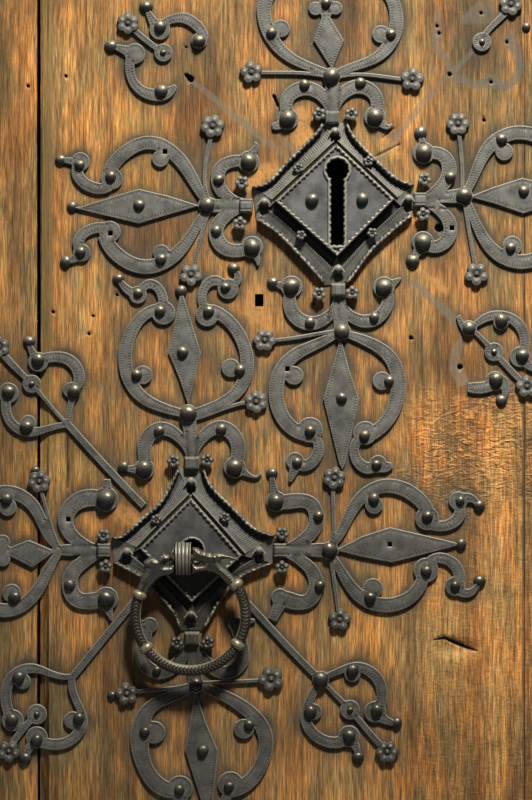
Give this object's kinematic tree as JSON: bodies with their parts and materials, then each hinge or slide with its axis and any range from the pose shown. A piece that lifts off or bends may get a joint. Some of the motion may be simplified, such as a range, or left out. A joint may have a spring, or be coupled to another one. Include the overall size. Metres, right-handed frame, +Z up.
{
  "type": "arched wooden door",
  "caption": "Round-headed plank door in its timber frame, with forged iron star plates, a pull ring on a hook, strap hinges and a long sliding lock bolt.",
  "frame": {"origin": "middle of the threshold's underside, on the plane of the leaf's outside face", "axes": "+Z up, +X across the door to the lock side, +Y inwards through the door; the decorated outside faces -Y"},
  "size_m": [1.08, 0.134, 2.14],
  "materials": {
    "plank_brown": "weathered, oiled, vertical grain",
    "plank_grey_brown": "weathered, darker, grey-brown",
    "frame_oak": "weathered oak, satin",
    "ledge_oak": "planed oak, dull",
    "forged_iron": "hammered, blackened, dull satin",
    "nail_iron": "forged heads, worn satin",
    "ring_iron": "hand-polished by use, satin",
    "back_iron": "forged, blackened, dull"
  },
  "bodies": {
    "frame": {"jamb_left": "frame_oak", "jamb_right": "frame_oak", "arch_head_left": "frame_oak", "arch_head_right": "frame_oak", "threshold": "frame_oak", "frame_pegs": "frame_oak", "pintle_lower": "back_iron", "pintle_upper": "back_iron", "pintle_nails": "back_iron", "bolt_keeper": "back_iron", "keeper_nails": "back_iron"},
    "leaf": {"plank_left": "plank_grey_brown", "plank_middle": "plank_brown", "plank_right": "plank_brown", "ledge_bottom": "ledge_oak", "ledge_middle": "ledge_oak", "ledge_top": "ledge_oak", "ledge_nails": "back_iron", "hinge_strap_lower": "back_iron", "hinge_strap_upper": "back_iron", "strap_nails": "back_iron", "lock_case": "back_iron", "lock_bolt_guide": "back_iron", "bolt_staple_inner": "back_iron", "bolt_staple_outer": "back_iron", "lock_spring": "back_iron", "lock_nails": "back_iron", "lock_star_frame": "forged_iron", "lock_star_box": "forged_iron", "lock_keyhole_rim": "forged_iron", "lock_star_fittings": "forged_iron", "lock_rosettes": "forged_iron", "lock_front_nails": "nail_iron", "ring_star_frame": "forged_iron", "ring_star_plate": "forged_iron", "ring_star_fittings": "forged_iron", "ring_rosettes": "forged_iron", "ring_front_nails": "nail_iron", "ring_hook": "ring_iron", "ring_hook_rove": "back_iron", "lock_lily_top": "forged_iron", "lock_lily_right": "forged_iron", "lock_lily_bottom": "forged_iron", "lock_lily_left": "forged_iron", "ring_lily_top": "forged_iron", "ring_lily_right": "forged_iron", "ring_lily_bottom": "forged_iron", "ring_lily_left": "forged_iron", "lock_scroll_nw_upper": "forged_iron", "lock_scroll_nw_lower": "forged_iron", "lock_scroll_se": "forged_iron", "lock_scroll_se_tail": "forged_iron", "lock_scroll_ne": "forged_iron", "ring_scroll_nw": "forged_iron", "ring_scroll_sw": "forged_iron", "ring_scroll_se": "forged_iron"},
    "ring": {"pull_ring": "ring_iron"},
    "bolt": {"lock_bolt": "back_iron"}
  },
  "joints": [
    {"name": "leaf_swing", "type": "hinge", "parent": "frame", "child": "leaf", "pos_m": [-0.458, 0.06535, 0.44], "axis": [0, 0, 1], "range_deg": [0, 100]},
    {"name": "ring_swing", "type": "hinge", "parent": "leaf", "child": "ring", "pos_m": [-0.074, -0.022, 0.943], "axis": [-1, 0, 0], "range_deg": [0, 160]},
    {"name": "bolt_slide", "type": "slide", "parent": "leaf", "child": "bolt", "axis": [1, 0, 0], "range_m": [0, 0.028]}
  ]
}
